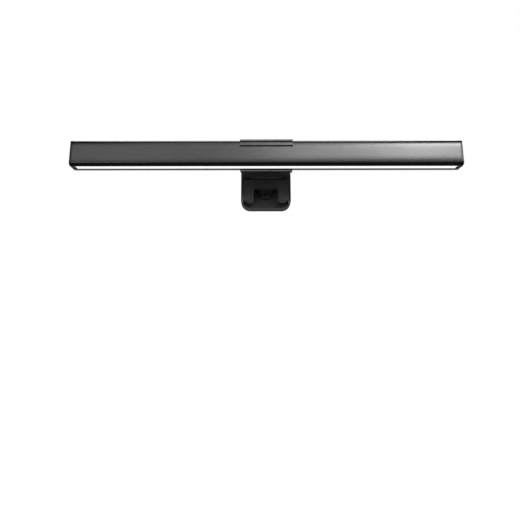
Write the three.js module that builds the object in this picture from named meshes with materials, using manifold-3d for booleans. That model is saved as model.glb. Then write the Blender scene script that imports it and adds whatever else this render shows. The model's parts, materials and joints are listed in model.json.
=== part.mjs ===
// Monitor light bar: a slim aluminium lamp held in a cradle, on a friction hinge, on a sprung screen clamp.
// Millimetres. +Z is up, +X runs along the bar to its touch-control end, and -Y is the side facing the user.
// The origin is the middle of the rest pad's underside, where the clamp sits on the screen's top edge.

import * as THREE from "three";
import { mergeVertices } from "three/addons/utils/BufferGeometryUtils.js";
import Module from "manifold-3d";

const wasm = await Module();
wasm.setup();

// ---------------------------------------------------------------- driving dimensions

const FACETS_PER_ROOT_MM = 3.4;
const CURVE_STEPS = 6;
const ROUND_STEPS = 24;
const CLEARANCE = 0.3;
const SLIP = 0.1;

// the lamp is modelled from its own corner: Y back from the front face, Z up from the underside
const LAMP_FRONT_Y = -41;
const LAMP_BOTTOM_Z = -0.6;
const BAR_LENGTH = 300;
const BAR_DEPTH = 15.5;
const BAR_HEIGHT = 20.25;
const BAR_WALL = 1.2;
const BAR_CORNERS = { frontBottom: 3.5, backBottom: 0.9, backTop: 2.2, frontTop: 2.8 };

// the slot under the bar, and the lens that fills it: a ledge in front and a flange behind hold the lens in
const SLOT = { front: 3.1, back: 9.85 };
const LENS = {
  halfLength: 145.6,
  front: SLOT.front + 0.15,
  back: SLOT.back - 0.15,
  bottom: 0.15,
  ledgeFront: 2,
  ledgeBottom: 2.25,
  flangeBack: 13.2,
  flangeBottom: 1.5,
  top: 3,
};

const CAP_FLANGE = 1.6;
const CAP_PLUG = 5;
const CAP_PLUG_WALL = 1.2;
const CAP_EDGE = { across: 0.8, bottom: 2.6, top: 1, front: 0.4 };
const CAP_FACE = BAR_LENGTH / 2;
const HOUSING_END = CAP_FACE - CAP_FLANGE;

const REFLECTOR = { halfLength: 141, back: 13.9, front: 1.7, foot: 3.4, crown: 10.9, skin: 0.8 };
const LED_BOARD = { halfLength: 142, face: 12.2, bottom: 3.3, top: 8.3 };
const LED = { count: 36, halfWidth: 1.4, halfHeight: 1.7, height: 0.7, endGap: 5 };

const RING_CENTRE = { y: BAR_DEPTH / 2, z: BAR_HEIGHT / 2 };
const RING_OUTER = 4.9;
const RING_INNER = 4.3;
const RING_DEPTH = 0.75;
const MARK = { width: 0.55, radius: 2, gap: 38, barFoot: 0.5, barTop: 2.9 };

// the driver board stands on the reflector at the inlet end
const DRIVER = { start: -147, end: -105, front: 3.2, back: 12.3, top: 12.5 };
const DRIVER_SEAT = DRIVER.top + 0.05;
const CHIP = { x: -133.5, half: 2.5, height: 1.1 };
const INDUCTOR = { x: -123.3, half: 3.2, corner: 1.4, height: 3.2 };
const CAPACITOR = { start: -117.4, end: -111, radius: 1.9 };
const BOARD_THICKNESS = 0.8;
const LEAD_RADIUS = 0.4;
const LEAD_ENDS = { positive: { y: 10.2, z: 7 }, negative: { y: 7.4, z: 4.6 } };

// the touch board stands inside the plug of the right-hand cap
const TOUCH_BOARD = { x: HOUSING_END - CAP_PLUG + 0.6, front: 3.1, back: 12.4, bottom: 4.2, top: 16 };
const TOUCH_LAMP = { halfWidth: 0.75, halfHeight: 0.5, height: 0.7 };
const TOUCH_SPRING = { turns: 3, wire: 0.25, baseRadius: 2.6, topRadius: 1.8, gap: 0.4 };
const TOUCH_CABLE = { start: -109, front: 6.2, back: 9.3, low: 11.2, thickness: 0.5 };

const SOCKET = { y: 7.75, z: 14.2, width: 8.94, height: 3.26, wall: 0.3, length: 7.4, depth: 6.2 };
const TONGUE = { start: 1.3, halfWidth: 3.3, halfHeight: 0.35 };

const CRADLE_HALF_WIDTH = 20.25;
const CRADLE_BACK_HALF_WIDTH = 19.6;
const CRADLE_LIP_FRONT = -1.5;
const CRADLE_LIP_BOTTOM = 15.25;
const CRADLE_TOP = 21.25;
const CRADLE_BACK = 17.4;
const CRADLE_FRONT_CORNER = 4.05;
const CRADLE_BACK_CORNER = 4.1;
const CRADLE_TOP_CORNER = 0.9;
const CRADLE_HOOK_FRONT = 12.5;
const CRADLE_HOOK_BOTTOM = -1.6;
const CRADLE_SCREW = { x: 17.5, z: 15, shaft: 1, head: 1.9, headHeight: 1.2, socket: 0.9, tip: 13.2 };

// the tilt hinge, in the lamp's own coordinates
const TILT = { y: 22.4, z: 9, barrel: 3.6, pin: 1.5 };
const CLAMP_KNUCKLE_HALF = 8.2;
const EAR_INNER = 9.3;
const EAR_OUTER = 15;
const PIN_HEAD = { radius: 2.6, length: 1.4 };
const NUT = { radius: 2.7, length: 1.8 };
const WASHER = { radius: 3.3, halfThickness: 0.4 };

// the clamp, in the part's coordinates
const SHELF_UNDERSIDE = 0.8;
const SHELF_FRONT = -21.8;
const SHELF_NECK_TOP = 3.9;
const SHELF_TOP = 5.5;
const SHELF_STEP = { front: -13.5, back: -11.5 };
const SHELF_HALF_WIDTH = 19.5;
const LIP = { halfWidth: 13, front: -6, back: -4, bottom: -2.1 };
const BODY = {
  halfWidth: 20.6,
  wall: 1.2,
  floor: 1.4,
  roof: 1.5,
  rimTop: 7.4,
  rimBottom: 7.8,
  backTop: 24,
  backBottom: 15,
  top: 8.4,
  bottom: -25.3,
  corner: 8.3,
  topCorner: 2.5,
  planCorner: 3,
  shoulderFront: 3,
  shoulderBack: 9,
  hollowFront: 10.2,
};
const COVER = { thickness: 1.5, bottom: 1.95, top: 32.5 };
const COVER_SCREW = { x: 15.2, up: 28.6, shaft: 0.9, head: 1.9, headHeight: 1, socket: 0.8, reach: 7 };
const PILLAR = { radius: 2.6, reach: 13.5 };
// the hook's outline is drawn on the cover, from the cover's lower edge plane up
const HOOK = {
  outer: 3.9,
  legInner: 2.1,
  peak: 0.8,
  tip: 0.4,
  legEnd: 12.6,
  roof: 15.8,
  tipEnd: 14.2,
  root: 19.3,
  reach: 6.8,
};
const REST_PAD = { halfWidth: 12.4, front: -3.2, back: 3.4 };
const LIP_PAD = { halfWidth: 10.5, thickness: 0.6 };
const PAD_CORNER = 0.8;

const FLAP = {
  halfWidth: 19.1,
  face: 4,
  pad: 0.8,
  top: 0.3,
  bottom: -20.2,
  outerCorner: 6,
  innerCorner: 3,
  wall: 1.4,
  depthTop: 9.8,
  depthBottom: 8.2,
  windowHalfWidth: 10,
  windowTop: -6.7,
  windowCorner: 3,
  bevelStart: 0.4,
  bevelEnd: 4,
  bevelSlope: 0.42,
};
const SWING = { y: 8.9, z: -3.4, pin: 1, barrel: 2.2, barrelStart: 13.5 };
const COIL = { radius: 1.9, wire: 0.4, turns: 3.5, pitch: 1.6, innerX: 3.6 };

// ---------------------------------------------------------------- materials

function material(color, roughness, metalness) {
  return new THREE.MeshStandardMaterial({ color, roughness, metalness });
}

const paintedAluminium = () => material(0x3a3a3c, 0.42, 0.75);
const blackPlastic = () => material(0x1b1b1d, 0.6, 0);
const blackRubber = () => material(0x141414, 0.85, 0);
const milkyPlastic = () => material(0xf8f8f4, 0.5, 0);
const whitePlastic = () => material(0xf0f0ee, 0.45, 0);
const steel = () => material(0xa9acb0, 0.3, 1);
const copper = () => material(0xb87333, 0.35, 1);
const circuitBoard = () => material(0x0f5a32, 0.5, 0);
const whiteBoard = () => material(0xe8e8e4, 0.5, 0);
const chipBlack = () => material(0x101012, 0.5, 0);
const wireInsulation = (color) => material(color, 0.55, 0);

// ---------------------------------------------------------------- solids and how they join

function solidOf(geometry) {
  const bare = geometry.clone();
  bare.deleteAttribute("normal");
  bare.deleteAttribute("uv");
  const merged = mergeVertices(bare, 1e-4);
  const vertProperties = new Float32Array(merged.attributes.position.array);
  const triVerts = new Uint32Array(merged.index.array);
  return new wasm.Manifold(new wasm.Mesh({ numProp: 3, vertProperties, triVerts }));
}

function geometryOf(solid) {
  const mesh = solid.getMesh();
  const geometry = new THREE.BufferGeometry();
  geometry.setAttribute("position", new THREE.BufferAttribute(mesh.vertProperties, 3));
  geometry.setIndex(new THREE.BufferAttribute(mesh.triVerts, 1));
  geometry.computeVertexNormals();
  return geometry;
}

function join(first, ...others) {
  return geometryOf(others.reduce((solid, other) => solid.add(solidOf(other)), solidOf(first)));
}

function cut(first, ...others) {
  return geometryOf(others.reduce((solid, other) => solid.subtract(solidOf(other)), solidOf(first)));
}

function common(first, ...others) {
  return geometryOf(others.reduce((solid, other) => solid.intersect(solidOf(other)), solidOf(first)));
}

// ---------------------------------------------------------------- outlines and extrusions

// larger corners get more facets
function facetsFor(radius) {
  return Math.max(2, Math.round(FACETS_PER_ROOT_MM * Math.sqrt(radius)));
}

// the points of one rounded corner, from the side that comes in to the side that goes out
function cornerPoints(before, corner, after, radius) {
  const back = before.clone().sub(corner).normalize();
  const ahead = after.clone().sub(corner).normalize();
  const half = Math.acos(THREE.MathUtils.clamp(back.dot(ahead), -1, 1)) / 2;
  const centre = back.clone().add(ahead).normalize().multiplyScalar(radius / Math.sin(half)).add(corner);
  const start = back.clone().multiplyScalar(radius / Math.tan(half)).add(corner).sub(centre);
  const turn = (Math.PI - 2 * half) * (back.cross(ahead) > 0 ? -1 : 1);
  const facets = facetsFor(radius);
  return Array.from({ length: facets + 1 }, (_, i) => {
    return start.clone().rotateAround(new THREE.Vector2(), (turn * i) / facets).add(centre);
  });
}

// An outline through corners [u, v, radius], each corner rounded by an arc of its radius.
function outline(corners) {
  const points = corners.map(([u, v]) => new THREE.Vector2(u, v));
  return new THREE.Shape(
    corners.flatMap(([, , radius], i) => {
      if (!radius) return [points[i]];
      return cornerPoints(points.at(i - 1), points[i], points[(i + 1) % points.length], radius);
    })
  );
}

function rectangle(u0, u1, v0, v1, radius = 0) {
  return outline([[u0, v0, radius], [u1, v0, radius], [u1, v1, radius], [u0, v1, radius]]);
}

function disc(u, v, radius) {
  const shape = new THREE.Shape();
  shape.absarc(u, v, radius, 0, Math.PI * 2, false);
  return shape;
}

function extrude(shape, depth, steps = CURVE_STEPS) {
  return new THREE.ExtrudeGeometry(shape, { depth, bevelEnabled: false, curveSegments: steps });
}

// a side outline drawn in Y and Z, run along X
function alongX(shape, x0, x1, steps) {
  const turn = new THREE.Matrix4().set(0, 0, 1, x0, 1, 0, 0, 0, 0, 1, 0, 0, 0, 0, 0, 1);
  return extrude(shape, x1 - x0, steps).applyMatrix4(turn);
}

// a front outline drawn in X and Z, run along Y
function alongY(shape, y0, y1, steps) {
  const turn = new THREE.Matrix4().set(1, 0, 0, 0, 0, 0, -1, y1, 0, 1, 0, 0, 0, 0, 0, 1);
  return extrude(shape, y1 - y0, steps).applyMatrix4(turn);
}

// a plan drawn in X and Y, run along Z
function alongZ(shape, z0, z1, steps) {
  return extrude(shape, z1 - z0, steps).translate(0, 0, z0);
}

function block(x0, x1, y0, y1, z0, z1) {
  const box = new THREE.BoxGeometry(x1 - x0, y1 - y0, z1 - z0);
  return box.translate((x0 + x1) / 2, (y0 + y1) / 2, (z0 + z1) / 2);
}

function rodX(radius, x0, x1, y, z, steps = ROUND_STEPS) {
  const rod = new THREE.CylinderGeometry(radius, radius, x1 - x0, steps);
  return rod.rotateZ(Math.PI / 2).translate((x0 + x1) / 2, y, z);
}

function rodY(radius, y0, y1, x, z, steps = ROUND_STEPS) {
  return new THREE.CylinderGeometry(radius, radius, y1 - y0, steps).translate(x, (y0 + y1) / 2, z);
}

function wire(points, radius, steps, sides = 6) {
  const path = new THREE.CatmullRomCurve3(points, false, "centripetal");
  const settings = { steps, extrudePath: path, bevelEnabled: false, curveSegments: sides / 2 };
  return new THREE.ExtrudeGeometry(disc(0, 0, radius), settings);
}

function part(name, geometry, skin) {
  const mesh = new THREE.Mesh(geometry, skin);
  mesh.name = name;
  return mesh;
}

// ---------------------------------------------------------------- the bar

function barOutline(inset) {
  const soft = (radius) => Math.max(radius - inset, 0.3);
  return outline([
    [inset, inset, soft(BAR_CORNERS.frontBottom)],
    [BAR_DEPTH - inset, inset, soft(BAR_CORNERS.backBottom)],
    [BAR_DEPTH - inset, BAR_HEIGHT - inset, soft(BAR_CORNERS.backTop)],
    [inset, BAR_HEIGHT - inset, soft(BAR_CORNERS.frontTop)],
  ]);
}

function cradleScrewHoles(y0, y1) {
  const radius = CRADLE_SCREW.shaft + SLIP;
  return [-1, 1].map((side) => rodY(radius, y0, y1, side * CRADLE_SCREW.x, CRADLE_SCREW.z, 12));
}

function barHousing() {
  const shell = alongX(barOutline(0), -HOUSING_END, HOUSING_END);
  const hollow = alongX(barOutline(BAR_WALL), -CAP_FACE, CAP_FACE);
  const slot = block(-CAP_FACE, CAP_FACE, SLOT.front, SLOT.back, -1, BAR_WALL + 1);
  return cut(shell, hollow, slot, ...cradleScrewHoles(BAR_DEPTH - 2, BAR_DEPTH + 1));
}

function lens() {
  const section = outline([
    [LENS.front, LENS.bottom],
    [LENS.back, LENS.bottom],
    [LENS.back, LENS.flangeBottom],
    [LENS.flangeBack, LENS.flangeBottom],
    [LENS.flangeBack, LENS.top],
    [LENS.ledgeFront, LENS.top],
    [LENS.ledgeFront, LENS.ledgeBottom],
    [LENS.front, LENS.ledgeBottom],
  ]);
  return alongX(section, -LENS.halfLength, LENS.halfLength);
}

// the curved mirror that turns the sideways light down and towards the user
function reflector() {
  const { halfLength, back, front, foot, crown, skin } = REFLECTOR;
  const bend = 3;
  const section = new THREE.Shape();
  section.moveTo(back, foot);
  section.lineTo(back, crown);
  section.quadraticCurveTo(bend, crown + 0.3, front, foot + 0.7);
  section.lineTo(front + skin, foot + 0.5);
  section.quadraticCurveTo(bend + 0.6, crown - skin, back - skin, crown - skin);
  section.lineTo(back - skin, foot);
  section.closePath();
  return alongX(section, -halfLength, halfLength);
}

function ledBoard() {
  const { halfLength, face, bottom, top } = LED_BOARD;
  const middle = (bottom + top) / 2;
  const pitch = (2 * (halfLength - LED.endGap)) / (LED.count - 1);
  const leds = Array.from({ length: LED.count }, (_, i) => {
    const x = pitch * (i - (LED.count - 1) / 2);
    const low = middle - LED.halfHeight;
    const high = middle + LED.halfHeight;
    return block(x - LED.halfWidth, x + LED.halfWidth, face - LED.height, face + 0.1, low, high);
  });
  return join(block(-halfLength, halfLength, face, face + BOARD_THICKNESS, bottom, top), ...leds);
}

// ---------------------------------------------------------------- end caps, touch control and inlet

// the cap's front view: its outer corners are quarter ellipses
function capFront() {
  const { across, bottom, top } = CAP_EDGE;
  const bend = CAP_FACE - across;
  const shape = new THREE.Shape();
  shape.moveTo(0, 0);
  shape.absellipse(bend, bottom, across, bottom, -Math.PI / 2, 0, false);
  shape.absellipse(bend, BAR_HEIGHT - top, across, top, 0, Math.PI / 2, false);
  shape.lineTo(0, BAR_HEIGHT);
  shape.closePath();
  return shape;
}

// A cap for the end at +X: the flange covers the section, and the plug goes inside over the lens.
function endCap() {
  const section = alongX(barOutline(0), HOUSING_END, CAP_FACE);
  const front = alongY(capFront(), -1, BAR_DEPTH + 1);
  const plan = alongZ(rectangle(0, CAP_FACE, 0, BAR_DEPTH, CAP_EDGE.front), -1, BAR_HEIGHT + 1);
  const flange = common(section, front, plan);
  const inset = BAR_WALL + CLEARANCE;
  const plugStart = HOUSING_END - CAP_PLUG;
  const plug = alongX(barOutline(inset), plugStart, HOUSING_END + 0.5);
  const bore = alongX(barOutline(inset + CAP_PLUG_WALL), plugStart - 1, HOUSING_END);
  const lensEnd = LENS.halfLength + 0.2;
  const lensRoom = block(0, lensEnd, 0, BAR_DEPTH, 0, LENS.top + 0.6);
  const sill = block(lensEnd, HOUSING_END + 0.5, SLOT.front + 0.2, SLOT.back - 0.2, 0.5, inset + 0.6);
  return join(cut(plug, bore, lensRoom), flange, sill);
}

function ringTube(outer, inner, x0, x1) {
  const ring = disc(RING_CENTRE.y, RING_CENTRE.z, outer);
  const hole = new THREE.Path();
  hole.absarc(RING_CENTRE.y, RING_CENTRE.z, inner, 0, Math.PI * 2, true);
  ring.holes.push(hole);
  return alongX(ring, x0, x1, ROUND_STEPS / 2);
}

// the curved stroke of the on-off mark, open at the top
function markArc(margin) {
  const gap = THREE.MathUtils.degToRad(MARK.gap) - margin / MARK.radius;
  const outer = MARK.radius + MARK.width / 2 + margin;
  const inner = MARK.radius - MARK.width / 2 - margin;
  const start = Math.PI / 2 + gap;
  const end = Math.PI * 2.5 - gap;
  const shape = new THREE.Shape();
  shape.absarc(RING_CENTRE.y, RING_CENTRE.z, outer, start, end, false);
  shape.absarc(RING_CENTRE.y, RING_CENTRE.z, inner, end, start, true);
  shape.closePath();
  return shape;
}

function markBar(margin) {
  const half = MARK.width / 2 + margin;
  const { y, z } = RING_CENTRE;
  return rectangle(y - half, y + half, z + MARK.barFoot - margin, z + MARK.barTop + margin);
}

function rightEndCap() {
  const seat = CAP_FACE - RING_DEPTH - SLIP;
  const groove = ringTube(RING_OUTER + SLIP, RING_INNER - SLIP, seat, CAP_FACE + 1);
  const arcSeat = alongX(markArc(SLIP), seat, CAP_FACE + 1);
  const barSeat = alongX(markBar(SLIP), seat, CAP_FACE + 1);
  return cut(endCap(), groove, arcSeat, barSeat);
}

function stadium(width, height) {
  const { y, z } = SOCKET;
  return rectangle(y - width / 2, y + width / 2, z - height / 2, z + height / 2, height / 2 - 0.01);
}

function leftEndCap() {
  const hole = alongX(stadium(SOCKET.width + 0.3, SOCKET.height + 0.3), -CAP_FACE - 1, -HOUSING_END + 0.5);
  return cut(mirrorX(endCap()), hole);
}

// mirrors a solid across X = 0 and turns its triangles over, so that its faces still point out
function mirrorX(geometry) {
  const flipped = geometry.clone().scale(-1, 1, 1);
  const order = flipped.index.array;
  for (let i = 0; i < order.length; i += 3) {
    [order[i + 1], order[i + 2]] = [order[i + 2], order[i + 1]];
  }
  return flipped;
}

function usbSocket() {
  const mouth = -CAP_FACE + SLIP;
  const shell = alongX(stadium(SOCKET.width, SOCKET.height), mouth, mouth + SOCKET.length);
  const inside = stadium(SOCKET.width - 2 * SOCKET.wall, SOCKET.height - 2 * SOCKET.wall);
  return cut(shell, alongX(inside, mouth - 1, mouth + SOCKET.depth));
}

function usbTongue() {
  const mouth = -CAP_FACE + SLIP;
  const end = mouth + SOCKET.depth - 0.05;
  const { y, z } = SOCKET;
  const { start, halfWidth, halfHeight } = TONGUE;
  return block(mouth + start, end, y - halfWidth, y + halfWidth, z - halfHeight, z + halfHeight);
}

function driverBoard() {
  return block(DRIVER.start, DRIVER.end, DRIVER.front, DRIVER.back, DRIVER.top - BOARD_THICKNESS, DRIVER.top);
}

function driverChip() {
  const y = BAR_DEPTH / 2;
  const { x, half, height } = CHIP;
  return block(x - half, x + half, y - half, y + half, DRIVER_SEAT, DRIVER_SEAT + height);
}

function powerInductor() {
  const y = BAR_DEPTH / 2;
  const { x, half, corner, height } = INDUCTOR;
  return alongZ(rectangle(x - half, x + half, y - half, y + half, corner), DRIVER_SEAT, DRIVER_SEAT + height);
}

function filterCapacitor() {
  const { start, end, radius } = CAPACITOR;
  return rodX(radius, start, end, BAR_DEPTH / 2, DRIVER_SEAT + radius + 0.05, 16);
}

function touchBoard() {
  const { x, front, back, bottom, top } = TOUCH_BOARD;
  const face = x + BOARD_THICKNESS;
  const middle = BAR_DEPTH / 2;
  const { halfWidth, halfHeight, height } = TOUCH_LAMP;
  const lamps = [-1, 1].map((side) => {
    const z = RING_CENTRE.z + side * (RING_OUTER - 0.3);
    const [low, high] = [z - halfHeight, z + halfHeight];
    return block(face - 0.1, face + height, middle - halfWidth, middle + halfWidth, low, high);
  });
  return join(block(x, face, front, back, bottom, top), ...lamps);
}

// the sensing spring between the touch board and the inside of the cap
function touchSpring() {
  const { turns, baseRadius, topRadius, gap } = TOUCH_SPRING;
  const start = TOUCH_BOARD.x + BOARD_THICKNESS + gap;
  const rise = HOUSING_END - gap - start;
  const steps = turns * 12;
  const points = Array.from({ length: steps + 1 }, (_, i) => {
    const t = i / steps;
    const angle = t * turns * Math.PI * 2;
    const radius = THREE.MathUtils.lerp(baseRadius, topRadius, t);
    const y = RING_CENTRE.y + radius * Math.cos(angle);
    return new THREE.Vector3(start + rise * t, y, RING_CENTRE.z + radius * Math.sin(angle));
  });
  return wire(points, TOUCH_SPRING.wire, steps);
}

// a lead from the underside of the driver board down to a pad at the end of the LED board
function ledLead({ y, z }) {
  const x = -LED_BOARD.halfLength - 0.8;
  const top = DRIVER.top - BOARD_THICKNESS - SLIP;
  const points = [
    new THREE.Vector3(x, y, top),
    new THREE.Vector3(x, y, top - 1.5),
    new THREE.Vector3(x + 0.2, y + 0.3, z + 1.4),
    new THREE.Vector3(x + 1.2, LED_BOARD.face - 1.2, z + 0.2),
    new THREE.Vector3(x + 1.3, LED_BOARD.face - 0.1, z),
  ];
  return wire(points, LEAD_RADIUS, 12);
}

// the flat cable that lies on the reflector between the driver board and the touch board
function touchCable() {
  const { start, front, back, low, thickness } = TOUCH_CABLE;
  const end = TOUCH_BOARD.x - 0.1;
  const seat = DRIVER.top + SLIP;
  const top = [[end, low + 1.2], [end - 6, low], [start + 10, low], [start + 5, seat], [start, seat]];
  const raised = top.map(([x, z]) => [x, z + thickness]).reverse();
  return alongY(outline([...raised, ...top]), front, back);
}

// ---------------------------------------------------------------- the cradle and its hinge

// the strap that wraps the bar from its front lip, over the top and down the back to the hook underneath
function cradleSection() {
  return outline([
    [CRADLE_LIP_FRONT, CRADLE_LIP_BOTTOM, 0.3],
    [-SLIP, CRADLE_LIP_BOTTOM],
    [-SLIP, BAR_HEIGHT + SLIP, BAR_CORNERS.frontTop + SLIP],
    [BAR_DEPTH + SLIP, BAR_HEIGHT + SLIP, BAR_CORNERS.backTop + SLIP],
    [BAR_DEPTH + SLIP, -SLIP],
    [CRADLE_HOOK_FRONT, -SLIP],
    [CRADLE_HOOK_FRONT, CRADLE_HOOK_BOTTOM, 0.4],
    [CRADLE_BACK, CRADLE_HOOK_BOTTOM, 1],
    [CRADLE_BACK, CRADLE_TOP, CRADLE_BACK_CORNER],
    [CRADLE_LIP_FRONT, CRADLE_TOP, CRADLE_FRONT_CORNER],
  ]);
}

function earOutline() {
  const shape = new THREE.Shape();
  shape.moveTo(CRADLE_BACK - 0.5, TILT.z - TILT.barrel);
  shape.lineTo(TILT.y, TILT.z - TILT.barrel);
  shape.absarc(TILT.y, TILT.z, TILT.barrel, -Math.PI / 2, Math.PI / 2, false);
  shape.lineTo(CRADLE_BACK - 0.5, TILT.z + TILT.barrel);
  shape.closePath();
  return shape;
}

// the cradle tapers towards its back, and its two upper corners are rounded as the user sees them
function barCradle() {
  const half = CRADLE_HALF_WIDTH;
  const low = CRADLE_HOOK_BOTTOM - 1;
  const plan = outline([
    [-half, CRADLE_LIP_FRONT - 1],
    [half, CRADLE_LIP_FRONT - 1],
    [half, CRADLE_HOOK_FRONT + 0.5],
    [CRADLE_BACK_HALF_WIDTH, CRADLE_BACK + 1],
    [-CRADLE_BACK_HALF_WIDTH, CRADLE_BACK + 1],
    [-half, CRADLE_HOOK_FRONT + 0.5],
  ]);
  const front = outline([
    [-half, low],
    [half, low],
    [half, CRADLE_TOP, CRADLE_TOP_CORNER],
    [-half, CRADLE_TOP, CRADLE_TOP_CORNER],
  ]);
  const hoop = common(
    alongX(cradleSection(), -half, half),
    alongZ(plan, low, CRADLE_TOP + 1),
    alongY(front, CRADLE_LIP_FRONT - 1, CRADLE_BACK + 1)
  );
  const ears = [
    alongX(earOutline(), -EAR_OUTER, -EAR_INNER),
    alongX(earOutline(), EAR_INNER, EAR_OUTER),
  ];
  const bore = rodX(TILT.pin + SLIP, -EAR_OUTER - 1, EAR_OUTER + 1, TILT.y, TILT.z);
  return cut(join(hoop, ...ears), bore, ...cradleScrewHoles(BAR_DEPTH - 1, CRADLE_BACK + 1));
}

function cradleScrew(side) {
  const { x, z, shaft, head, headHeight, socket, tip } = CRADLE_SCREW;
  const seat = CRADLE_BACK + 0.05;
  const stem = rodY(shaft, tip, seat + 0.2, side * x, z, 12);
  const cap = rodY(head, seat, seat + headHeight, side * x, z, 20);
  const recess = rodY(socket, seat + 0.5, seat + headHeight + 1, side * x, z, 6);
  return cut(join(stem, cap), recess);
}

function tiltPin() {
  const seat = -EAR_OUTER - 0.2;
  const head = rodX(PIN_HEAD.radius, seat - PIN_HEAD.length, seat, TILT.y, TILT.z);
  const shaft = rodX(TILT.pin, seat - 0.3, EAR_OUTER + 0.2 + NUT.length, TILT.y, TILT.z);
  return join(head, shaft);
}

function tiltNut() {
  const seat = EAR_OUTER + 0.2;
  const hexagon = rodX(NUT.radius, seat, seat + NUT.length, TILT.y, TILT.z, 6);
  return cut(hexagon, rodX(TILT.pin + SLIP, seat - 1, seat + NUT.length + 1, TILT.y, TILT.z));
}

function frictionWasher(side) {
  const middle = side * (CLAMP_KNUCKLE_HALF + EAR_INNER) / 2;
  const half = WASHER.halfThickness;
  const washer = rodX(WASHER.radius, middle - half, middle + half, TILT.y, TILT.z);
  return cut(washer, rodX(TILT.pin + SLIP, middle - 1, middle + 1, TILT.y, TILT.z));
}

// ---------------------------------------------------------------- the screen clamp

// the tilt hinge's axis in the part's coordinates
const HINGE_Y = LAMP_FRONT_Y + TILT.y;
const HINGE_Z = LAMP_BOTTOM_Z + TILT.z;

const backRise = BODY.top - BODY.bottom;
const backRun = BODY.backTop - BODY.backBottom;
const backLean = Math.atan2(backRun, backRise);

// puts a solid drawn against an upright back plane (Y = 0 outside, Z up it) on the leaning back
function onBack(geometry) {
  return geometry.rotateX(-backLean).translate(0, BODY.backBottom, BODY.bottom);
}

// the shelf, the tall body behind the screen and the step between them, seen from the side, front and top
function clampOuter() {
  const { halfWidth, rimTop, rimBottom, backTop, backBottom, top, bottom } = BODY;
  const { corner, topCorner, planCorner } = BODY;
  const side = outline([
    [SHELF_FRONT, SHELF_UNDERSIDE, 0.5],
    [rimTop, SHELF_UNDERSIDE],
    [rimBottom, bottom, 0.4],
    [backBottom, bottom, 1.5],
    [backTop, top, 3],
    [BODY.shoulderBack, top, 3],
    [BODY.shoulderFront, SHELF_TOP, 3],
    [SHELF_STEP.back, SHELF_TOP, 1.5],
    [SHELF_STEP.front, SHELF_NECK_TOP, 1.5],
    [SHELF_FRONT, SHELF_NECK_TOP, 0.8],
  ]);
  const front = outline([
    [-halfWidth, bottom, corner],
    [halfWidth, bottom, corner],
    [halfWidth, top, topCorner],
    [-halfWidth, top, topCorner],
  ]);
  const plan = outline([
    [-SHELF_HALF_WIDTH, SHELF_FRONT, planCorner],
    [SHELF_HALF_WIDTH, SHELF_FRONT, planCorner],
    [SHELF_HALF_WIDTH, rimTop - 1.6],
    [halfWidth, rimTop - 0.4],
    [halfWidth, backTop + 1, planCorner],
    [-halfWidth, backTop + 1, planCorner],
    [-halfWidth, rimTop - 0.4],
    [-SHELF_HALF_WIDTH, rimTop - 1.6],
  ]);
  return common(
    alongX(side, -halfWidth, halfWidth),
    alongY(front, SHELF_FRONT - 1, backTop + 1),
    alongZ(plan, bottom - 1, top + 1)
  );
}

function clampHollow() {
  const { halfWidth, wall, floor, roof, corner, top, bottom, backTop } = BODY;
  const ceiling = top - roof;
  const half = halfWidth - wall;
  const mouth = 3;
  const behind = backTop + 8;
  const side = outline([
    [mouth, bottom - 1],
    [behind, bottom - 1],
    [behind, ceiling],
    [BODY.hollowFront, ceiling],
    [BODY.hollowFront, SHELF_UNDERSIDE],
    [mouth, SHELF_UNDERSIDE],
  ]);
  const front = outline([
    [-half, bottom + floor, corner - wall],
    [half, bottom + floor, corner - wall],
    [half, ceiling, 1.3],
    [-half, ceiling, 1.3],
  ]);
  return common(alongX(side, -half - 1, half + 1), alongY(front, 0, behind + 1));
}

function hingeKnuckle() {
  const foot = SHELF_UNDERSIDE + 1;
  const shape = new THREE.Shape();
  shape.moveTo(SHELF_FRONT + 0.4, foot);
  shape.lineTo(HINGE_Y - TILT.barrel, HINGE_Z);
  shape.absarc(HINGE_Y, HINGE_Z, TILT.barrel, Math.PI, 0, true);
  shape.lineTo(SHELF_STEP.front + 0.5, SHELF_NECK_TOP + 0.6);
  shape.lineTo(SHELF_STEP.front + 0.5, foot);
  shape.closePath();
  return alongX(shape, -CLAMP_KNUCKLE_HALF, CLAMP_KNUCKLE_HALF);
}

// hollow pillars that the cover's screws bite into
function coverPillar(side) {
  const end = -COVER.thickness - CLEARANCE;
  return onBack(rodY(PILLAR.radius, -PILLAR.reach, end, side * COVER_SCREW.x, COVER_SCREW.up, 16));
}

function coverScrewBore(side) {
  const { x, up, shaft, reach } = COVER_SCREW;
  return onBack(rodY(shaft + SLIP, -reach - 1, 2, side * x, up, 12));
}

function clampBody() {
  const lipOutline = outline([
    [-LIP.halfWidth, LIP.bottom, 2],
    [LIP.halfWidth, LIP.bottom, 2],
    [LIP.halfWidth, SHELF_UNDERSIDE + 0.6],
    [-LIP.halfWidth, SHELF_UNDERSIDE + 0.6],
  ]);
  const sides = [-1, 1];
  const shell = join(
    cut(clampOuter(), clampHollow()),
    alongY(lipOutline, LIP.front, LIP.back),
    hingeKnuckle()
  );
  const inside = common(join(...sides.map(coverPillar)), clampHollow());
  return cut(
    join(shell, inside),
    rodX(TILT.pin + SLIP, -CLAMP_KNUCKLE_HALF - 1, CLAMP_KNUCKLE_HALF + 1, HINGE_Y, HINGE_Z),
    rodX(SWING.pin + SLIP, -BODY.halfWidth + 0.3, BODY.halfWidth - 0.3, SWING.y, SWING.z),
    ...sides.map(coverScrewBore)
  );
}

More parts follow.
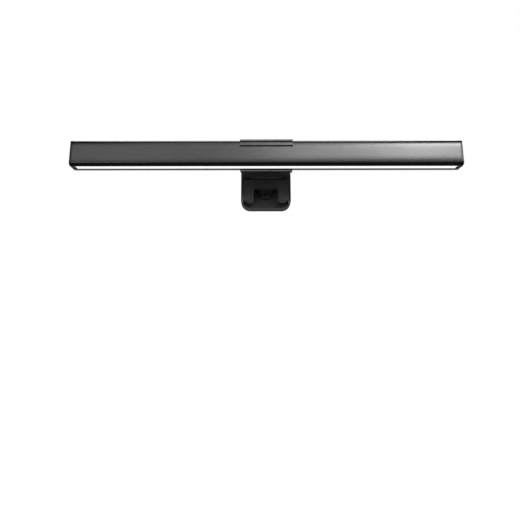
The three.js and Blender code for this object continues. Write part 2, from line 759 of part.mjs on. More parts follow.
// the hook on the cover's inner side that the spring's middle loop pulls against: two legs and a middle tip
function springHook() {
  const { outer, legInner, peak, tip, legEnd, roof, tipEnd, root } = HOOK;
  const right = [
    [tip, tipEnd, 0.3],
    [peak, roof, 0.4],
    [legInner - 0.2, roof, 0.8],
    [legInner, legEnd, 0.5],
    [outer, legEnd, 1],
    [outer, root],
  ];
  const left = right.map(([x, z, radius]) => [-x, z, radius]).reverse();
  return alongY(outline([...left, ...right]), -HOOK.reach, -COVER.thickness + 0.4);
}

function backCover() {
  const half = BODY.halfWidth - BODY.wall - SLIP;
  const corner = BODY.corner - BODY.wall - SLIP;
  const plate = outline([
    [-half, COVER.bottom, corner],
    [half, COVER.bottom, corner],
    [half, COVER.top, 1],
    [-half, COVER.top, 1],
  ]);
  const holes = [-1, 1].map((side) => {
    return rodY(COVER_SCREW.shaft + SLIP, -3, 1, side * COVER_SCREW.x, COVER_SCREW.up, 12);
  });
  return onBack(cut(join(alongY(plate, -COVER.thickness, 0), springHook()), ...holes));
}

function coverScrew(side) {
  const { x, up, shaft, head, headHeight, socket, reach } = COVER_SCREW;
  const stem = rodY(shaft, -reach, 0.2, side * x, up, 12);
  const cap = rodY(head, 0.05, headHeight, side * x, up, 20);
  const recess = rodY(socket, 0.45, headHeight + 1, side * x, up, 6);
  return onBack(cut(join(stem, cap), recess));
}

function restPad() {
  const { halfWidth, front, back } = REST_PAD;
  return alongZ(rectangle(-halfWidth, halfWidth, front, back, PAD_CORNER), 0, SHELF_UNDERSIDE);
}

function lipPad() {
  const { halfWidth, thickness } = LIP_PAD;
  const face = rectangle(-halfWidth, halfWidth, LIP.bottom + 0.3, -SLIP, PAD_CORNER);
  return alongY(face, LIP.back, LIP.back + thickness);
}

// ---------------------------------------------------------------- the sprung flap

function flapOutline(inset) {
  const { halfWidth, top, bottom, outerCorner, innerCorner } = FLAP;
  const outer = halfWidth - inset;
  const window = FLAP.windowHalfWidth + inset;
  const low = bottom + inset;
  const sill = FLAP.windowTop + inset;
  const corner = Math.max(innerCorner - inset, 0.4);
  return outline([
    [-outer, low, outerCorner - inset],
    [-window, low, corner],
    [-window, sill, FLAP.windowCorner],
    [window, sill, FLAP.windowCorner],
    [window, low, corner],
    [outer, low, outerCorner - inset],
    [outer, top - inset, 1],
    [-outer, top - inset, 1],
  ]);
}

// the window's head is a bevel that slopes down towards the back
function windowBevel() {
  const { windowHalfWidth, windowTop, bevelSlope, bevelStart, bevelEnd, face, pad } = FLAP;
  const start = face + pad + bevelStart;
  const end = face + pad + bevelEnd;
  const section = outline([
    [start, windowTop + 0.5],
    [start, windowTop],
    [end, windowTop - bevelSlope * (end - start)],
    [end, windowTop + 0.5],
  ]);
  return alongX(section, -windowHalfWidth - 1, windowHalfWidth + 1);
}

// a hollow plate with a window, open at the back, with a barrel for the pin at each upper corner
function flap() {
  const { halfWidth, face, pad, top, bottom, wall, depthTop, depthBottom, windowHalfWidth, windowTop } = FLAP;
  const front = face + pad;
  const side = outline([
    [front, bottom, 0.6],
    [depthBottom, bottom, 1],
    [depthTop, SWING.z - 4],
    [depthTop, top, 1.2],
    [front, top, 0.6],
  ]);
  const plate = common(alongY(flapOutline(0), front - 1, depthTop + 1), alongX(side, -halfWidth, halfWidth));
  const hollow = alongY(flapOutline(wall), front + wall, depthTop + 2);
  const overWindow = rectangle(front + wall, depthTop + 2, windowTop + 0.5, top - wall);
  const headroom = alongX(overWindow, -windowHalfWidth, windowHalfWidth);
  const { barrel, barrelStart, pin, y, z } = SWING;
  const barrels = [
    rodX(barrel, -halfWidth + 0.2, -barrelStart, y, z),
    rodX(barrel, barrelStart, halfWidth - 0.2, y, z),
  ];
  const bore = rodX(pin + SLIP, -halfWidth - 1, halfWidth + 1, y, z);
  return cut(join(cut(plate, hollow, headroom), windowBevel(), ...barrels), bore);
}

function flapPad() {
  return alongY(flapOutline(0.7), FLAP.face, FLAP.face + FLAP.pad);
}

function flapPin() {
  const end = BODY.halfWidth - 0.45;
  return rodX(SWING.pin, -end, end, SWING.y, SWING.z);
}

// a double torsion spring: leg, coil, middle loop, coil, leg, in one wire
function torsionSpring() {
  const { radius, turns, pitch, innerX } = COIL;
  const stepsPerTurn = 10;
  const at = (x, y, z) => new THREE.Vector3(x, SWING.y + y, SWING.z + z);
  const coilPoints = Array.from({ length: turns * stepsPerTurn + 1 }, (_, i) => {
    const angle = (i / stepsPerTurn) * Math.PI * 2;
    return at(innerX + (pitch * i) / stepsPerTurn, radius * Math.cos(angle), radius * Math.sin(angle));
  });
  const loop = [at(4.6, 5.4, -10.8), at(5.4, 4.6, -8), at(4.7, 3.6, -4.6), at(innerX - 0.2, 2.4, -1.6)];
  const leg = [at(10.6, -radius, -0.4), at(12, -radius, -1.2), at(12.5, -radius, -3), at(12.5, -radius, -9)];
  const half = [...loop, ...coilPoints, ...leg];
  const mirrored = half.map((point) => new THREE.Vector3(-point.x, point.y, point.z)).reverse();
  return wire([...mirrored, at(0, 5.6, -11.4), ...half], COIL.wire, 110);
}

// ---------------------------------------------------------------- the assembly

function lampGroup() {
  const lamp = new THREE.Group();
  lamp.position.set(0, LAMP_FRONT_Y, LAMP_BOTTOM_Z);
  const ringBack = CAP_FACE - RING_DEPTH;
  lamp.add(
    part("bar_housing", barHousing(), paintedAluminium()),
    part("left_end_cap", leftEndCap(), blackPlastic()),
    part("right_end_cap", rightEndCap(), blackPlastic()),
    part("touch_ring", ringTube(RING_OUTER, RING_INNER, ringBack, CAP_FACE), milkyPlastic()),
    part("power_mark_arc", alongX(markArc(0), ringBack, CAP_FACE), milkyPlastic()),
    part("power_mark_bar", alongX(markBar(0), ringBack, CAP_FACE), milkyPlastic()),
    part("diffuser", lens(), milkyPlastic()),
    part("reflector", reflector(), whitePlastic()),
    part("led_board", ledBoard(), whiteBoard()),
    part("usb_c_socket", usbSocket(), steel()),
    part("usb_c_tongue", usbTongue(), chipBlack()),
    part("driver_board", driverBoard(), circuitBoard()),
    part("driver_chip", driverChip(), chipBlack()),
    part("power_inductor", powerInductor(), chipBlack()),
    part("filter_capacitor", filterCapacitor(), steel()),
    part("touch_board", touchBoard(), circuitBoard()),
    part("touch_spring", touchSpring(), copper()),
    part("led_lead_positive", ledLead(LEAD_ENDS.positive), wireInsulation(0xa01818)),
    part("led_lead_negative", ledLead(LEAD_ENDS.negative), wireInsulation(0x161616)),
    part("touch_cable", touchCable(), wireInsulation(0xd8d8d4)),
    part("bar_cradle", barCradle(), blackPlastic()),
    part("cradle_screw_left", cradleScrew(-1), steel()),
    part("cradle_screw_right", cradleScrew(1), steel()),
    part("tilt_pin", tiltPin(), steel()),
    part("tilt_nut", tiltNut(), steel()),
    part("friction_washer_left", frictionWasher(-1), blackRubber()),
    part("friction_washer_right", frictionWasher(1), blackRubber())
  );
  return lamp;
}

function clampGroup() {
  const clamp = new THREE.Group();
  clamp.add(
    part("clamp_body", clampBody(), blackPlastic()),
    part("back_cover", backCover(), blackPlastic()),
    part("cover_screw_left", coverScrew(-1), steel()),
    part("cover_screw_right", coverScrew(1), steel()),
    part("rest_pad", restPad(), blackRubber()),
    part("lip_pad", lipPad(), blackRubber()),
    part("flap_pin", flapPin(), steel()),
    part("torsion_spring", torsionSpring(), steel())
  );
  return clamp;
}

function flapGroup() {
  const group = new THREE.Group();
  group.add(part("flap", flap(), blackPlastic()), part("flap_pad", flapPad(), blackRubber()));
  return group;
}

const lightBar = new THREE.Group();
lightBar.add(clampGroup(), flapGroup(), lampGroup());

export default lightBar;
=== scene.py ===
# Looks of the monitor light bar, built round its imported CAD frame.
# Metres; +Z is up and -Y is the user's side.

import json
import math

import bmesh
import bpy
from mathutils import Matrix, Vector


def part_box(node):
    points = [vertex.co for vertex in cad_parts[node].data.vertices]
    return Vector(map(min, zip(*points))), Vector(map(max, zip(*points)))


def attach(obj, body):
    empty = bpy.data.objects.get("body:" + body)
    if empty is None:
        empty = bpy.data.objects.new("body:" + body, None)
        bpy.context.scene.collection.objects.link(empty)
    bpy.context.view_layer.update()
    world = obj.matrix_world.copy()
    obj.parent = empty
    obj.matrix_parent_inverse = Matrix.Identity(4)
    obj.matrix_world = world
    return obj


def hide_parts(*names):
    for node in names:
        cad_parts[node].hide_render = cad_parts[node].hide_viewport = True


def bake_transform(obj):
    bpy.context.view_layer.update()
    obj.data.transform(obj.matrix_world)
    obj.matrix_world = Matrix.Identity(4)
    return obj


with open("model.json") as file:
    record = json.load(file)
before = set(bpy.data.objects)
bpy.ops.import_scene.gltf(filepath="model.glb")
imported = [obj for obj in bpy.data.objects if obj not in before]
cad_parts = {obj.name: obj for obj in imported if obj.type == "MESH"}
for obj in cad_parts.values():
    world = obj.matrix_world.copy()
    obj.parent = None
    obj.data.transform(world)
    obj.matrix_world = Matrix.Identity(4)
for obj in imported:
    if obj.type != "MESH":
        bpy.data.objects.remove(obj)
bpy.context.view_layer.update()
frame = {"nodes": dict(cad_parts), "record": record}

MM = 0.001
WHITE = (1, 1, 1, 1)

# ------------------------------------------------------------------ camera

FOCAL_LENGTH = 42.37
SENSOR_WIDTH = 36
CLIP_RANGE = (0.01, 50)
CAMERA_PLACE = Vector((-5.4, -487.5, -123.6)) * MM
CAMERA_PITCH = math.radians(15.4)
CAMERA_ROLL = math.radians(0.08)
CAMERA_SHIFT = (0.0008, -0.1821)


def make_camera():
    data = bpy.data.cameras.new("camera")
    data.lens = FOCAL_LENGTH
    data.sensor_width = SENSOR_WIDTH
    data.shift_x, data.shift_y = CAMERA_SHIFT
    data.clip_start, data.clip_end = CLIP_RANGE
    camera = bpy.data.objects.new("camera", data)
    camera.location = CAMERA_PLACE
    camera.rotation_euler = (math.pi / 2 + CAMERA_PITCH, CAMERA_ROLL, 0)
    bpy.context.scene.collection.objects.link(camera)
    bpy.context.scene.camera = camera


# ------------------------------------------------------------------ material nodes

MIX_FACTOR, MIX_FIRST, MIX_SECOND, MIX_RESULT = 0, 6, 7, 2  # the mix node's colour sockets

class Nodes:
    """A short way to write a material's node tree."""

    def __init__(self, name):
        self.material = bpy.data.materials.new(name)
        self.material.use_nodes = True
        self.tree = self.material.node_tree
        self.shader = self.tree.nodes["Principled BSDF"]
        self.place = self.add("ShaderNodeTexCoord").outputs["Object"]

    def add(self, kind, **settings):
        node = self.tree.nodes.new(kind)
        for key, value in settings.items():
            setattr(node, key, value)
        return node

    def link(self, source, target):
        self.tree.links.new(source, target)

    def stretched(self, scale):
        """Object coordinates times a scale for each axis."""
        mapping = self.add("ShaderNodeMapping")
        mapping.inputs["Scale"].default_value = scale
        self.link(self.place, mapping.inputs["Vector"])
        return mapping.outputs["Vector"]

    def noise(self, scale, detail=2.0):
        node = self.add("ShaderNodeTexNoise")
        self.link(self.stretched(scale), node.inputs["Vector"])
        node.inputs["Scale"].default_value = 1.0
        node.inputs["Detail"].default_value = detail
        return node.outputs["Fac"]

    def cells(self, scale):
        node = self.add("ShaderNodeTexVoronoi")
        self.link(self.stretched(scale), node.inputs["Vector"])
        node.inputs["Scale"].default_value = 1.0
        return node.outputs["Distance"]

    def remap(self, value, low, high, new_low, new_high):
        node = self.add("ShaderNodeMapRange")
        self.link(value, node.inputs["Value"])
        sockets = ("From Min", "From Max", "To Min", "To Max")
        for socket, number in zip(sockets, (low, high, new_low, new_high)):
            node.inputs[socket].default_value = number
        return node.outputs["Result"]

    def blend(self, factor, first, second):
        """A colour between two colours."""
        node = self.add("ShaderNodeMix", data_type="RGBA")
        self.link(factor, node.inputs[MIX_FACTOR])
        node.inputs[MIX_FIRST].default_value = (*first, 1)
        node.inputs[MIX_SECOND].default_value = (*second, 1)
        return node.outputs[MIX_RESULT]

    def bump(self, height, strength, distance, under=None):
        node = self.add("ShaderNodeBump")
        node.inputs["Strength"].default_value = strength
        node.inputs["Distance"].default_value = distance
        self.link(height, node.inputs["Height"])
        if under is not None:
            self.link(under, node.inputs["Normal"])
        return node.outputs["Normal"]

    def finish(self, colour, roughness, normal=None, **constants):
        self.link(colour, self.shader.inputs["Base Color"])
        self.link(roughness, self.shader.inputs["Roughness"])
        if normal is not None:
            self.link(normal, self.shader.inputs["Normal"])
        for name, value in constants.items():
            self.shader.inputs[name.replace("_", " ")].default_value = value
        return self.material


def per_mm(x, y=None, z=None):
    """Texture scale for a pattern with that many features a millimetre along each axis."""
    return (x / MM, (x if y is None else y) / MM, (x if z is None else z) / MM)


FINE_RELIEF = 0.02 * MM
COARSE_RELIEF = 0.03 * MM
DRAWN_RELIEF = 0.01 * MM
PLASTIC_GRAIN = 3.2
PLASTIC_DEPTH = 0.25
WAVE_SPAN = 20  # a wave texture of scale 1 repeats every 2 pi / 20


def anodised(name, dark, light):
    """Bead-blasted, anodised extrusion: fine grain with faint drawing lines along X."""
    nodes = Nodes(name)
    cloud = nodes.noise(per_mm(0.012, 0.05, 0.05), 3)
    grain = nodes.noise(per_mm(6.0), 2)
    lines = nodes.noise(per_mm(0.02, 5.0, 5.0), 2)
    colour = nodes.blend(nodes.remap(cloud, 0.3, 0.7, 0, 1), dark, light)
    rough = nodes.remap(grain, 0.2, 0.8, 0.2, 0.26)
    normal = nodes.bump(grain, 0.10, FINE_RELIEF)
    normal = nodes.bump(lines, 0.05, FINE_RELIEF, normal)
    return nodes.finish(colour, rough, normal, Metallic=0.9)


def moulded(name, dark, light, rough=(0.46, 0.6)):
    """Injection-moulded plastic with a fine spark-eroded texture."""
    nodes = Nodes(name)
    cloud = nodes.noise(per_mm(0.08), 3)
    pits = nodes.cells(per_mm(PLASTIC_GRAIN))
    fine = nodes.noise(per_mm(PLASTIC_GRAIN * 2.4), 2)
    colour = nodes.blend(nodes.remap(cloud, 0.3, 0.7, 0, 1), dark, light)
    roughness = nodes.remap(fine, 0.25, 0.75, *rough)
    normal = nodes.bump(pits, PLASTIC_DEPTH, COARSE_RELIEF)
    normal = nodes.bump(fine, PLASTIC_DEPTH * 0.6, FINE_RELIEF, normal)
    return nodes.finish(colour, roughness, normal, Specular_IOR_Level=0.5)


def silicone(name, dark, light):
    nodes = Nodes(name)
    cloud = nodes.noise(per_mm(0.2), 3)
    fine = nodes.noise(per_mm(8.0), 3)
    colour = nodes.blend(nodes.remap(cloud, 0.3, 0.7, 0, 1), dark, light)
    roughness = nodes.remap(fine, 0.2, 0.8, 0.62, 0.8)
    normal = nodes.bump(fine, 0.2, FINE_RELIEF)
    return nodes.finish(colour, roughness, normal, Sheen_Weight=0.15, Sheen_Roughness=0.5)


def metal(name, dark, light):
    """Drawn or plated metal, with its lines along X."""
    nodes = Nodes(name)
    lines = nodes.noise(per_mm(0.3, 6.0, 6.0), 3)
    cloud = nodes.noise(per_mm(0.6), 2)
    colour = nodes.blend(nodes.remap(cloud, 0.3, 0.7, 0, 1), dark, light)
    roughness = nodes.remap(lines, 0.25, 0.75, 0.25, 0.4)
    normal = nodes.bump(lines, 0.12, DRAWN_RELIEF)
    return nodes.finish(colour, roughness, normal, Metallic=1.0)


def lit(name, strength, pitch):
    """Milky plastic lit from behind by a row of diodes, slightly brighter in front of each."""
    nodes = Nodes(name)
    fine = nodes.noise(per_mm(5.0), 2)
    frost = nodes.blend(fine, (0.52, 0.52, 0.51), (0.58, 0.58, 0.57))
    settings = {"wave_type": "BANDS", "bands_direction": "X", "wave_profile": "SIN"}
    wave = nodes.add("ShaderNodeTexWave", **settings)
    nodes.link(nodes.place, wave.inputs["Vector"])
    wave.inputs["Scale"].default_value = 2 * math.pi / (WAVE_SPAN * pitch)
    glow = nodes.blend(wave.outputs["Fac"], (0.97, 0.96, 0.93), (1.0, 1.0, 0.98))
    nodes.link(glow, nodes.shader.inputs["Emission Color"])
    roughness = nodes.remap(fine, 0.2, 0.8, 0.4, 0.55)
    normal = nodes.bump(fine, 0.15, FINE_RELIEF)
    return nodes.finish(frost, roughness, normal, Emission_Strength=strength)


def circuit(name, dark, light):
    """Solder mask over copper tracks."""
    nodes = Nodes(name)
    tracks = nodes.cells(per_mm(0.55))
    fine = nodes.noise(per_mm(4.0), 2)
    shown = nodes.remap(tracks, 0.42, 0.46, 0, 1)
    colour = nodes.blend(shown, dark, light)
    roughness = nodes.remap(fine, 0.2, 0.8, 0.3, 0.45)
    normal = nodes.bump(shown, 0.3, COARSE_RELIEF)
    return nodes.finish(colour, roughness, normal)


CLAMP_GREY = ((0.185, 0.185, 0.186), (0.215, 0.215, 0.216))
REFLECTOR_WHITE = ((0.8, 0.8, 0.78), (0.86, 0.86, 0.84))
BOARD_WHITE = ((0.75, 0.75, 0.72), (0.82, 0.82, 0.79))
DIODE_PITCH = 7.8 * MM
RING_PITCH = 4 * MM


def make_materials():
    return {
        "bar_metal": anodised("bar_metal", (0.20, 0.20, 0.203), (0.235, 0.235, 0.238)),
        "cap_plastic": anodised("cap_plastic", (0.10, 0.10, 0.102), (0.125, 0.125, 0.127)),
        "clamp_plastic": moulded("clamp_plastic", *CLAMP_GREY),
        "pad_rubber": silicone("pad_rubber", (0.18, 0.18, 0.18), (0.21, 0.21, 0.21)),
        "diffuser_plastic": lit("diffuser_plastic", 1.05, DIODE_PITCH),
        "ring_plastic": lit("ring_plastic", 1.4, RING_PITCH),
        "reflector_plastic": moulded("reflector_plastic", *REFLECTOR_WHITE, (0.15, 0.25)),
        "board_white": moulded("board_white", *BOARD_WHITE, (0.3, 0.4)),
        "board_green": circuit("board_green", (0.012, 0.09, 0.04), (0.03, 0.17, 0.08)),
        "chip_plastic": moulded("chip_plastic", (0.012, 0.012, 0.013), (0.02, 0.02, 0.021)),
        "can_metal": metal("can_metal", (0.6, 0.6, 0.62), (0.68, 0.68, 0.7)),
        "steel": metal("steel", (0.42, 0.42, 0.43), (0.52, 0.52, 0.53)),
        "spring_steel": metal("spring_steel", (0.10, 0.10, 0.105), (0.16, 0.16, 0.165)),
        "contact_metal": metal("contact_metal", (0.66, 0.42, 0.2), (0.75, 0.5, 0.26)),
        "lead_red": silicone("lead_red", (0.30, 0.015, 0.015), (0.38, 0.025, 0.02)),
        "lead_black": silicone("lead_black", (0.015, 0.015, 0.015), (0.022, 0.022, 0.022)),
        "cable_white": silicone("cable_white", (0.66, 0.66, 0.63), (0.74, 0.74, 0.71)),
        "washer_plastic": moulded("washer_plastic", (0.03, 0.03, 0.03), (0.04, 0.04, 0.04)),
    }


# ------------------------------------------------------------------ refined pieces

MERGE_DISTANCE = 0.002 * MM
FLAT_ANGLE = math.radians(0.5)
FACET_ANGLE = math.radians(40)
SHARP_ANGLE = math.radians(32)
EDGE_SEGMENTS = 3
SHADING_WEIGHT = 80
WIRE_LEVELS = 2

def clean_mesh(node):
    """The node's mesh with its facets joined again wherever they lie in one plane."""
    source = frame["nodes"][node].data
    work = bmesh.new()
    work.from_mesh(source)
    bmesh.ops.remove_doubles(work, verts=work.verts, dist=MERGE_DISTANCE)
    for layer in list(work.loops.layers.uv):
        work.loops.layers.uv.remove(layer)
    bmesh.ops.dissolve_limit(
        work, angle_limit=FLAT_ANGLE, verts=work.verts, edges=work.edges,
        use_dissolve_boundaries=False,
    )
    mesh = bpy.data.meshes.new(node + "_fine")
    points = [vertex.co.copy() for vertex in work.verts]
    work.verts.index_update()
    faces = [[vertex.index for vertex in face.verts] for face in work.faces]
    work.free()
    mesh.from_pydata(points, [], faces)
    mesh.validate()
    return mesh


def link(name, mesh):
    piece = bpy.data.objects.new(name, mesh)
    bpy.context.scene.collection.objects.link(piece)
    return piece


def stand_for(piece, node, rides=True):
    """The piece takes the node's place and slot, and its body unless something else moves it."""
    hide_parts(node)
    if rides:
        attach(piece, body_of[node])
    piece.data.materials.clear()
    piece.data.materials.append(materials[slot_of[node]])
    return piece


def shade(piece):
    for face in piece.data.polygons:
        face.use_smooth = True
    normals = piece.modifiers.new("even shading", "WEIGHTED_NORMAL")
    normals.keep_sharp = True
    normals.weight = SHADING_WEIGHT


def rounded(piece, edge):
    """Sharp edges rounded to a radius of edge millimetres."""
    bevel = piece.modifiers.new("rounded edges", "BEVEL")
    bevel.width = edge * MM
    bevel.segments = EDGE_SEGMENTS
    bevel.limit_method = "ANGLE"
    bevel.angle_limit = SHARP_ANGLE
    bevel.use_clamp_overlap = True
    bevel.miter_outer = "MITER_ARC"
    shade(piece)


def refined(node, edge):
    """The node with its facets merged and its sharp edges rounded."""
    piece = link(node + "_fine", clean_mesh(node))
    rounded(piece, edge)
    stand_for(piece, node)


def rounded_wire(node, rides=True):
    """A faceted wire made round."""
    source = frame["nodes"][node].data
    work = bmesh.new()
    work.from_mesh(source)
    bmesh.ops.remove_doubles(work, verts=work.verts, dist=MERGE_DISTANCE)
    bmesh.ops.join_triangles(
        work, faces=work.faces, cmp_seam=False, cmp_sharp=False, cmp_uvs=False,
        cmp_vcols=False, cmp_materials=False, angle_face_threshold=FACET_ANGLE,
        angle_shape_threshold=FACET_ANGLE,
    )
    mesh = bpy.data.meshes.new(node + "_fine")
    work.to_mesh(mesh)
    work.free()
    piece = link(node + "_fine", mesh)
    smooth = piece.modifiers.new("round section", "SUBSURF")
    smooth.levels = smooth.render_levels = WIRE_LEVELS
    for face in mesh.polygons:
        face.use_smooth = True
    return stand_for(piece, node, rides)


def wound_spring():
    """The flap's spring, its wire made round; it is tied to no body."""
    piece = rounded_wire("torsion_spring", rides=False)
    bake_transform(piece)


# ------------------------------------------------------------------ the extruded housing

BAR_WALL = 1.2
CORNER = {"front_bottom": 3.5, "back_bottom": 0.9, "back_top": 2.2, "front_top": 2.8}
FACE_CROWN = 0.24
FACE_TILT = math.radians(7)
CROWN_POWER = 4
FACE_STEPS = 16
SMALLEST_CORNER = 0.3
HOUSING_EDGE = 0.15
ARC_STEPS = 8
SLOT_FRONT = 3.1
SLOT_BACK = 9.85


def arc(centre, radius, start, end):
    """Points round a centre, the angles measured from straight back towards straight up."""
    return [
        (centre[0] + radius * math.cos(angle), centre[1] + radius * math.sin(angle))
        for angle in (start + (end - start) * step / ARC_STEPS for step in range(ARC_STEPS + 1))
    ]


def crowned_face(low, high, setback):
    """The front face, upwards: flat in the middle, set back by setback towards both ends."""
    middle, half = (low + high) / 2, (high - low) / 2
    places = [-1 + 2 * step / FACE_STEPS for step in range(1, FACE_STEPS)]
    return [(setback * place ** CROWN_POWER, middle + half * place) for place in places]


def bar_skin(depth, height, inset=0.0):
    """The bar's section from the slot's front edge round to its back edge: (y, z) in mm."""
    quarter = math.pi / 2
    low, high, back_high, back_low = (
        max(CORNER[name] - inset, SMALLEST_CORNER)
        for name in ("front_bottom", "front_top", "back_top", "back_bottom")
    )
    near = inset + FACE_CROWN
    lean = FACE_TILT
    turn = near + low * math.cos(lean)
    slot_edge = 3 * quarter - math.asin((turn - SLOT_FRONT) / low)
    front_low = arc((turn, inset + low), low, slot_edge, 2 * quarter + lean)
    high_centre = (near + high * math.cos(lean), height - inset - high)
    front_high = arc(high_centre, high, 2 * quarter - lean, quarter)
    crown = crowned_face(front_low[-1][1], front_high[0][1], FACE_CROWN)
    face = [(inset + y, z) for y, z in crown]
    back = depth - inset
    top_back = arc((back - back_high, height - inset - back_high), back_high, quarter, 0)
    bottom_back = arc((back - back_low, inset + back_low), back_low, 0, -quarter)
    return [*front_low, *face, *front_high, *top_back, *bottom_back, (SLOT_BACK, inset)]


def housing():
    """The aluminium shell, open along its underside for the diffuser."""
    low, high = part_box("bar_housing")
    depth, height = (high[1] - low[1]) / MM, (high[2] - low[2]) / MM
    outer = bar_skin(depth, height)
    inner = bar_skin(depth, height, BAR_WALL)
    work = bmesh.new()
    rings = []
    for x in (low[0], high[0]):
        rings.append([
            [work.verts.new((x, low[1] + y * MM, low[2] + z * MM)) for y, z in line]
            for line in (outer, inner)
        ])
    left, right = rings
    count = len(outer)
    for step in range(count - 1):
        for end in rings:
            work.faces.new((end[0][step], end[0][step + 1], end[1][step + 1], end[1][step]))
        for near, far in zip(left, right):
            work.faces.new((near[step], near[step + 1], far[step + 1], far[step]))
    for step in (0, count - 1):
        work.faces.new((left[0][step], left[1][step], right[1][step], right[0][step]))
    bmesh.ops.recalc_face_normals(work, faces=work.faces)
    mesh = bpy.data.meshes.new("bar_housing_fine")
    work.to_mesh(mesh)
    work.free()
    piece = link("bar_housing_fine", mesh)
    rounded(piece, HOUSING_EDGE)
    stand_for(piece, "bar_housing")


# ------------------------------------------------------------------ stage and light

FLOOR_SIZE = 30
FLOOR_HEIGHT = -0.42
FLOOR_GLOW = 1.1

def plane(name, size, place):
    mesh = bpy.data.meshes.new(name)
    half = size / 2
    corners = [(-half, -half, 0), (half, -half, 0), (half, half, 0), (-half, half, 0)]
    mesh.from_pydata(corners, [], [(0, 1, 2, 3)])
    piece = link(name, mesh)
    piece.location = place
    return piece


def make_floor():
    """A plain pale floor well below the lamp, which would hang at the height of a screen's top."""
    floor = plane("floor", FLOOR_SIZE, (0, 0, FLOOR_HEIGHT))
    nodes = Nodes("floor_white")
    cloud = nodes.noise((2, 2, 2), 2)
    colour = nodes.blend(cloud, (0.93, 0.93, 0.93), (0.96, 0.96, 0.96))
    roughness = nodes.remap(cloud, 0, 1, 0.8, 0.9)
    floor.data.materials.append(nodes.finish(colour, roughness, Specular_IOR_Level=0.1))
    nodes.link(colour, nodes.shader.inputs["Emission Color"])
    nodes.shader.inputs["Emission Strength"].default_value = FLOOR_GLOW
    floor.visible_glossy = False
    floor.visible_diffuse = False
    floor.visible_shadow = False


LIGHT_AIM = Vector((0, -0.03, 0))
LIGHT_DISTANCE = 2.0
SOFTBOXES = (
    # name, azimuth and height in degrees, width and tallness in metres, power in watts
    ("key_right", 29, 20, 0.9, 0.5, 3.0),
    ("key_middle", 11, 20, 0.7, 0.5, 1.7),
    ("key_left", -14, 20, 0.8, 0.5, 0.62),
    ("high_right", 30, 26, 0.9, 0.2, 2.3),
    ("high_front", 0, 36, 1.0, 0.35, 0.65),
    ("mid_right", 30, 8, 0.8, 0.4, 0.4),
    ("mid_front", 5, 8, 0.7, 0.4, 0.36),
    ("mid_left", -18, 8, 0.8, 0.4, 0.42),
    ("low_front", 0, -8, 1.8, 0.5, 0.5),
    ("low_near_left", -25, -13, 0.7, 0.4, 0.5),
    ("low_left", -60, -25, 0.7, 0.5, 1.2),
    ("low_right", 60, -25, 0.7, 0.5, 0.9),
    ("wall_behind", 180, -17, 2.0, 0.7, 0.8),
    ("rear_left", -150, 25, 0.9, 0.7, 8),
    ("rear_right", 150, 25, 0.9, 0.7, 8),
    ("overhead", 180, 80, 1.2, 0.8, 5.5),
)
WALL_FROM, WALL_TO = -0.1, 0.7
NEAR_WALL, FAR_WALL = 0.002, 0.11


def softbox(name, azimuth, height, width, tall, power):
    """A soft box on a sphere round the lamp. Azimuth 0 is in front and 90 to the right."""
    data = bpy.data.lights.new(name, "AREA")
    data.shape = "RECTANGLE"
    data.size = width
    data.size_y = tall
    data.energy = power
    light = bpy.data.objects.new(name, data)
    turn = math.radians(azimuth)
    rise = math.radians(height)
    level = math.cos(rise)
    away = Vector((math.sin(turn) * level, -math.cos(turn) * level, math.sin(rise)))
    light.location = LIGHT_AIM + away * LIGHT_DISTANCE
    light.rotation_euler = (-away).to_track_quat("-Z", "Y").to_euler()
    bpy.context.scene.collection.objects.link(light)


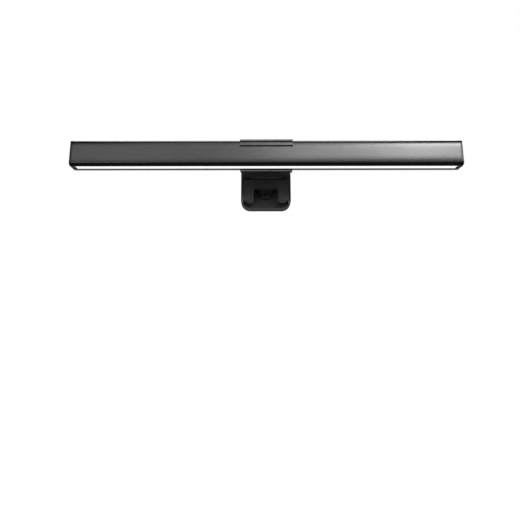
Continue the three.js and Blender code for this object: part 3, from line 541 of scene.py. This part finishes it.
def make_world():
    """White to the camera. To the lamp, a studio that is dark but for its far wall."""
    world = bpy.data.worlds.new("studio")
    world.use_nodes = True
    tree = world.node_tree
    dim = tree.nodes["Background"]
    bright = tree.nodes.new("ShaderNodeBackground")
    bright.inputs["Color"].default_value = WHITE
    place = tree.nodes.new("ShaderNodeTexCoord")
    axes = tree.nodes.new("ShaderNodeSeparateXYZ")
    wall = tree.nodes.new("ShaderNodeMapRange")
    sockets = ("From Min", "From Max", "To Min", "To Max")
    for socket, number in zip(sockets, (WALL_FROM, WALL_TO, NEAR_WALL, FAR_WALL)):
        wall.inputs[socket].default_value = number
    path = tree.nodes.new("ShaderNodeLightPath")
    mix = tree.nodes.new("ShaderNodeMixShader")
    tree.links.new(place.outputs["Generated"], axes.inputs["Vector"])
    tree.links.new(axes.outputs["Y"], wall.inputs["Value"])
    tree.links.new(wall.outputs["Result"], dim.inputs["Strength"])
    dim.inputs["Color"].default_value = WHITE
    tree.links.new(path.outputs["Is Camera Ray"], mix.inputs["Fac"])
    tree.links.new(dim.outputs["Background"], mix.inputs[1])
    tree.links.new(bright.outputs["Background"], mix.inputs[2])
    tree.links.new(mix.outputs["Shader"], tree.nodes["World Output"].inputs["Surface"])
    bpy.context.scene.world = world


def make_light():
    """Keys and fills across the front, weak lights below, and strong ones behind and above."""
    for row in SOFTBOXES:
        softbox(*row)


# ------------------------------------------------------------------ the lamp

make_camera()
make_world()
make_floor()
make_light()

materials = make_materials()
slot_of = {entry["node"]: entry["material_slot"] for entry in frame["record"]["subparts"]}
bodies = frame["record"]["behaviour"]["bodies"]
body_of = {node: body for body, nodes in bodies.items() for node in nodes}

for node, piece in frame["nodes"].items():
    piece.data.materials.clear()
    piece.data.materials.append(materials[slot_of[node]])
    for face in piece.data.polygons:
        face.use_smooth = False

EDGE_RADII = {
    "left_end_cap": 0.3,
    "right_end_cap": 0.3,
    "diffuser": 0.15,
    "bar_cradle": 0.45,
    "clamp_body": 0.5,
    "flap": 0.3,
    "flap_pad": 0.4,
    "back_cover": 0.25,
    "rest_pad": 0.2,
    "lip_pad": 0.15,
    "tilt_pin": 0.3,
    "tilt_nut": 0.2,
    "cradle_screw_left": 0.2,
    "cradle_screw_right": 0.2,
    "cover_screw_left": 0.2,
    "cover_screw_right": 0.2,
    "usb_c_socket": 0.06,
    "usb_c_tongue": 0.1,
}
for node, radius in EDGE_RADII.items():
    refined(node, radius)

housing()

for node in ("touch_spring", "led_lead_positive", "led_lead_negative"):
    rounded_wire(node)
wound_spring()

bpy.context.scene.view_settings.view_transform = "Standard"
